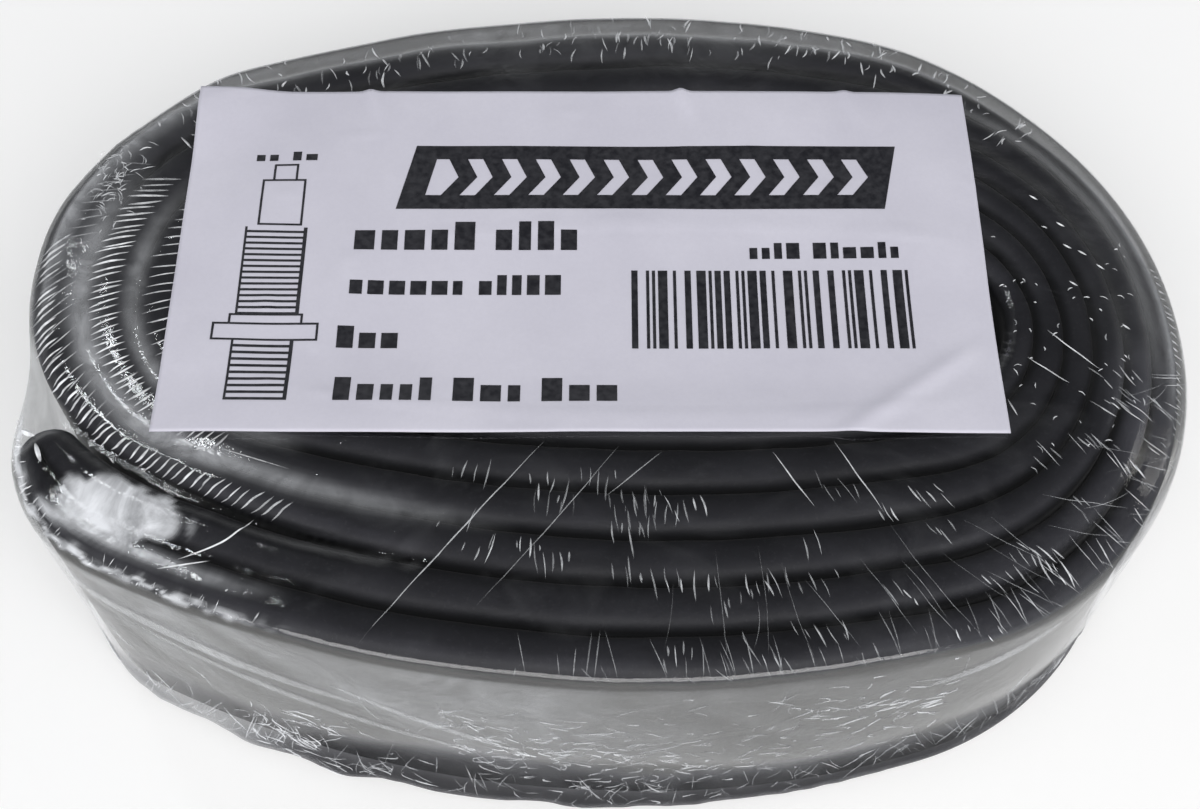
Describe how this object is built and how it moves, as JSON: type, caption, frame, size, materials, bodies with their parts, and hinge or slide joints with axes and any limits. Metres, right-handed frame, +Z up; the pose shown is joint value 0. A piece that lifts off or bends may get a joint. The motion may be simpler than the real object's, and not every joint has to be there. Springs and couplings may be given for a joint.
{
  "type": "bicycle inner tube",
  "caption": "Flat-pressed bicycle inner tube rolled up as an oval, shrink wrapped in clear film, with a paper label and its valve in the hollow.",
  "frame": {"origin": "on the surface it lies on, under the middle of the wrap", "axes": "+X along the oval's long way, +Y away from the side with the strip's tip, +Z up through the label"},
  "size_m": [0.1006, 0.068, 0.0301],
  "materials": {
    "butyl": "matte, with a trace of talc",
    "butyl_foot": "matte moulded",
    "seal": "smooth",
    "brass": "nickel plated, bright",
    "nickel": "nickel plated, knurled",
    "cap_plastic": "moulded",
    "film": "clear shrink film, glossy, wrinkled",
    "paper": "semi-matte white label paper"
  },
  "bodies": {
    "root": {"inner_tube": "butyl", "valve_foot": "butyl_foot", "valve_stem": "brass", "valve_core": "brass", "core_gasket": "seal", "film_top": "film", "film_side": "film", "film_bottom": "film", "label": "paper"},
    "pin": {"valve_pin": "brass", "pin_seal": "seal"},
    "lock_nut": {"lock_nut": "brass"},
    "rim_nut": {"rim_nut": "nickel"},
    "dust_cap": {"dust_cap": "cap_plastic"}
  },
  "joints": [
    {"name": "pin_press", "type": "slide", "parent": "root", "child": "pin", "axis": [1, 0, 0], "range_m": [-0.0015, 0]},
    {"name": "lock_nut_unscrew", "type": "slide", "parent": "pin", "child": "lock_nut", "axis": [1, 0, 0], "range_m": [0, 0.002]},
    {"name": "rim_nut_travel", "type": "slide", "parent": "root", "child": "rim_nut", "axis": [1, 0, 0], "range_m": [0, 0.017]},
    {"name": "dust_cap_off", "type": "slide", "parent": "root", "child": "dust_cap", "axis": [1, 0, 0], "range_m": [0, 0.012]}
  ],
  "couplings": [
    {"joint": "pin_press", "follows": "lock_nut_unscrew", "ratio": -0.75}
  ]
}
